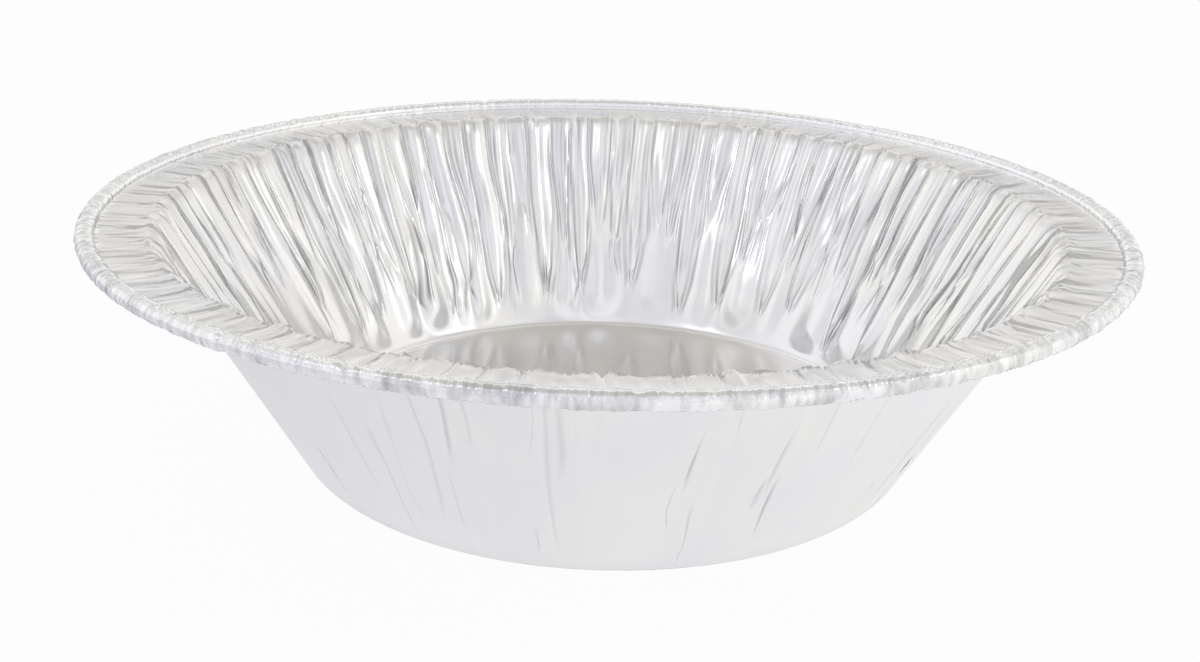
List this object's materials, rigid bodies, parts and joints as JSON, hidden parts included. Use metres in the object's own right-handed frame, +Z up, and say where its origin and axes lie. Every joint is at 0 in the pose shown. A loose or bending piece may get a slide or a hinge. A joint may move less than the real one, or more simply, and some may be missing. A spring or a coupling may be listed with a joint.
{
  "type": "foil pie tin",
  "caption": "Round tapered foil dish with a flat floor, gathered pleated wall, narrow flange and rolled crimped rim, for baking a small pie.",
  "frame": {"origin": "middle of the underside of the floor, on the surface it rests on", "axes": "+Z up through the open mouth; the tin is round about Z, so X and Y are free"},
  "size_m": [0.15, 0.15, 0.0368],
  "materials": {
    "foil": "bright wrinkled foil"
  },
  "bodies": {
    "root": {"foil_pie_tin": "foil"}
  },
  "joints": []
}
